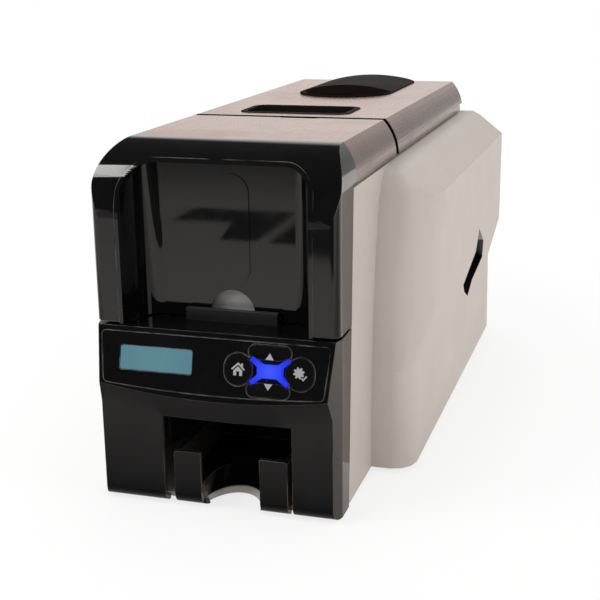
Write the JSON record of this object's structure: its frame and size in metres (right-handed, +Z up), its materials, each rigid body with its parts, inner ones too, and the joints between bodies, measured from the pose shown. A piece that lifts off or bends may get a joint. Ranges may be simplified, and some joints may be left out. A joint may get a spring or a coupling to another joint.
{
  "type": "id card printer",
  "caption": "Desktop card printer with a glossy black hinged hopper door, tilted key console with display, light side covers with bulges and a hinged roof with latch and hood.",
  "frame": {"origin": "on the table under the middle of the machine's overall box", "axes": "X across the machine (+X to the right seen from the front), +Y from the front to the back, +Z up"},
  "size_m": [0.226, 0.4278, 0.23],
  "materials": {
    "light_grey_plastic": "fine moulded texture",
    "black_rubber": "matt",
    "gloss_black": "polished",
    "inlay_black": "glossy film",
    "display": "pale blue lit glass",
    "key_lamp": "lit translucent",
    "circuit_board": "solder mask",
    "key_black": "glossy",
    "frame_steel": "plated sheet",
    "bright_steel": "ground",
    "dark_plastic": "moulded",
    "card_white": "card stock",
    "smoked_black": "smoked, polished",
    "roof_metallic": "warm metallic lacquer",
    "head_ceramic": "glazed ceramic",
    "sink_aluminium": "extruded",
    "ribbon_used": "film",
    "ribbon_fresh": "film",
    "roller_rubber": "ground rubber",
    "cleaning_blue": "tacky",
    "bush_plastic": "moulded",
    "supply_steel": "zinc plated sheet"
  },
  "bodies": {
    "chassis": {"base_tray": "light_grey_plastic", "rubber_feet": "black_rubber", "front_fascia": "gloss_black", "console_inlay": "inlay_black", "display_screen": "display", "key_light": "key_lamp", "console_board": "circuit_board", "output_tray": "gloss_black", "left_side_cover": "light_grey_plastic", "right_side_cover": "light_grey_plastic", "side_grips": "gloss_black", "rear_panel": "light_grey_plastic", "left_frame": "frame_steel", "right_frame": "frame_steel", "frame_ties": "bright_steel", "card_deck": "frame_steel", "exit_chute": "frame_steel", "input_hopper": "dark_plastic", "blank_cards": "card_white", "hinge_pins": "bright_steel", "ribbon_cassette": "dark_plastic", "ribbon_film": "ribbon_fresh", "shaft_bushes": "bush_plastic", "drive_belt": "black_rubber", "drive_motor": "dark_plastic", "power_supply": "supply_steel", "main_board": "circuit_board", "power_inlet": "dark_plastic", "data_ports": "bright_steel", "cooling_fan": "dark_plastic"},
    "door": {"hopper_door": "gloss_black", "hopper_window": "smoked_black", "door_top": "roof_metallic"},
    "cover": {"main_cover": "roof_metallic", "cover_hood": "gloss_black", "latch_bezel": "gloss_black", "head_bracket": "frame_steel", "print_head": "head_ceramic", "heat_sink": "sink_aluminium"},
    "latch": {"cover_latch": "gloss_black"},
    "home_button": {"home_key": "key_black"},
    "up_button": {"up_key": "key_black"},
    "down_button": {"down_key": "key_black"},
    "setup_button": {"setup_key": "key_black"},
    "weight": {"card_weight": "dark_plastic"},
    "pick": {"pick_roller": "roller_rubber"},
    "feed": {"feed_roller": "roller_rubber"},
    "feed_idler": {"feed_pinch": "roller_rubber"},
    "cleaner": {"cleaning_roller": "cleaning_blue"},
    "platen": {"platen_roller": "roller_rubber"},
    "rear_feed": {"rear_roller": "roller_rubber"},
    "rear_idler": {"rear_pinch": "roller_rubber"},
    "exit_feed": {"exit_roller": "roller_rubber"},
    "exit_idler": {"exit_pinch": "roller_rubber"},
    "motor_shaft": {"motor_pulley": "bright_steel"},
    "flap": {"card_flap": "dark_plastic"},
    "take_up": {"used_spool": "ribbon_used"},
    "supply": {"fresh_spool": "ribbon_fresh"},
    "rocker": {"power_switch": "dark_plastic"},
    "fan": {"fan_rotor": "dark_plastic"}
  },
  "joints": [
    {"name": "door_hinge", "type": "hinge", "parent": "chassis", "child": "door", "pos_m": [0, -0.05857, 0.2175], "axis": [-1, 0, 0], "range_deg": [0, 70]},
    {"name": "cover_hinge", "type": "hinge", "parent": "chassis", "child": "cover", "pos_m": [0, 0.20593, 0.206], "axis": [-1, 0, 0], "range_deg": [0, 55]},
    {"name": "latch_pivot", "type": "hinge", "parent": "cover", "child": "latch", "pos_m": [0, 0.00493, 0.2175], "axis": [-1, 0, 0], "range_deg": [0, 20], "stiffness_Nm_per_rad": 0.25, "springref_deg": -17.19},
    {"name": "home_press", "type": "slide", "parent": "chassis", "child": "home_button", "axis": [0, 0.969, -0.247], "range_m": [0, 0.0008], "stiffness_N_per_m": 500, "springref_m": -0.0003},
    {"name": "up_press", "type": "slide", "parent": "chassis", "child": "up_button", "axis": [0, 0.969, -0.247], "range_m": [0, 0.0008], "stiffness_N_per_m": 500, "springref_m": -0.0003},
    {"name": "down_press", "type": "slide", "parent": "chassis", "child": "down_button", "axis": [0, 0.969, -0.247], "range_m": [0, 0.0008], "stiffness_N_per_m": 500, "springref_m": -0.0003},
    {"name": "setup_press", "type": "slide", "parent": "chassis", "child": "setup_button", "axis": [0, 0.969, -0.247], "range_m": [0, 0.0008], "stiffness_N_per_m": 500, "springref_m": -0.0003},
    {"name": "weight_slide", "type": "slide", "parent": "chassis", "child": "weight", "axis": [0, 0, 1], "range_m": [0, 0.05]},
    {"name": "feed_spin", "type": "hinge", "parent": "chassis", "child": "feed", "pos_m": [0, -0.06307, 0.1072], "axis": [-1, 0, 0], "continuous": true},
    {"name": "pick_spin", "type": "hinge", "parent": "chassis", "child": "pick", "pos_m": [0, -0.10507, 0.1072], "axis": [-1, 0, 0], "continuous": true},
    {"name": "platen_spin", "type": "hinge", "parent": "chassis", "child": "platen", "pos_m": [0, 0.01193, 0.1072], "axis": [-1, 0, 0], "continuous": true},
    {"name": "rear_spin", "type": "hinge", "parent": "chassis", "child": "rear_feed", "pos_m": [0, 0.05893, 0.1072], "axis": [-1, 0, 0], "continuous": true},
    {"name": "exit_spin", "type": "hinge", "parent": "chassis", "child": "exit_feed", "pos_m": [0, -0.12907, 0.05733], "axis": [-1, 0, 0], "continuous": true},
    {"name": "motor_spin", "type": "hinge", "parent": "chassis", "child": "motor_shaft", "pos_m": [0, 0.00193, 0.062], "axis": [-1, 0, 0], "continuous": true},
    {"name": "feed_idler_spin", "type": "hinge", "parent": "chassis", "child": "feed_idler", "pos_m": [0, -0.06307, 0.125], "axis": [-1, 0, 0], "continuous": true},
    {"name": "cleaner_spin", "type": "hinge", "parent": "chassis", "child": "cleaner", "pos_m": [0, -0.03507, 0.125], "axis": [-1, 0, 0], "continuous": true},
    {"name": "rear_idler_spin", "type": "hinge", "parent": "chassis", "child": "rear_idler", "pos_m": [0, 0.05893, 0.125], "axis": [-1, 0, 0], "continuous": true},
    {"name": "exit_idler_spin", "type": "hinge", "parent": "chassis", "child": "exit_idler", "pos_m": [0, -0.12907, 0.07363], "axis": [-1, 0, 0], "continuous": true},
    {"name": "take_up_spin", "type": "hinge", "parent": "chassis", "child": "take_up", "pos_m": [0, -0.03807, 0.165], "axis": [-1, 0, 0], "continuous": true},
    {"name": "supply_spin", "type": "hinge", "parent": "chassis", "child": "supply", "pos_m": [0, 0.07193, 0.165], "axis": [-1, 0, 0], "continuous": true},
    {"name": "flap_pivot", "type": "hinge", "parent": "chassis", "child": "flap", "pos_m": [0, -0.02007, 0.1115], "axis": [1, 0, 0], "range_deg": [0, 24]},
    {"name": "switch_rocker", "type": "hinge", "parent": "chassis", "child": "rocker", "pos_m": [0, 0.20693, 0.065], "axis": [1, 0, 0], "range_deg": [-6, 6]},
    {"name": "fan_spin", "type": "hinge", "parent": "chassis", "child": "fan", "pos_m": [0.022, 0.19593, 0.122], "axis": [0, 1, 0], "continuous": true}
  ],
  "couplings": [
    {"joint": "pick_spin", "follows": "feed_spin", "ratio": 1},
    {"joint": "platen_spin", "follows": "feed_spin", "ratio": 1},
    {"joint": "rear_spin", "follows": "feed_spin", "ratio": 1},
    {"joint": "exit_spin", "follows": "feed_spin", "ratio": 1},
    {"joint": "motor_spin", "follows": "feed_spin", "ratio": 1.3333},
    {"joint": "feed_idler_spin", "follows": "feed_spin", "ratio": -1.1875},
    {"joint": "rear_idler_spin", "follows": "feed_spin", "ratio": -1.1875},
    {"joint": "cleaner_spin", "follows": "feed_spin", "ratio": -1.1875},
    {"joint": "exit_idler_spin", "follows": "feed_spin", "ratio": -1},
    {"joint": "supply_spin", "follows": "take_up_spin", "ratio": 0.7}
  ]
}
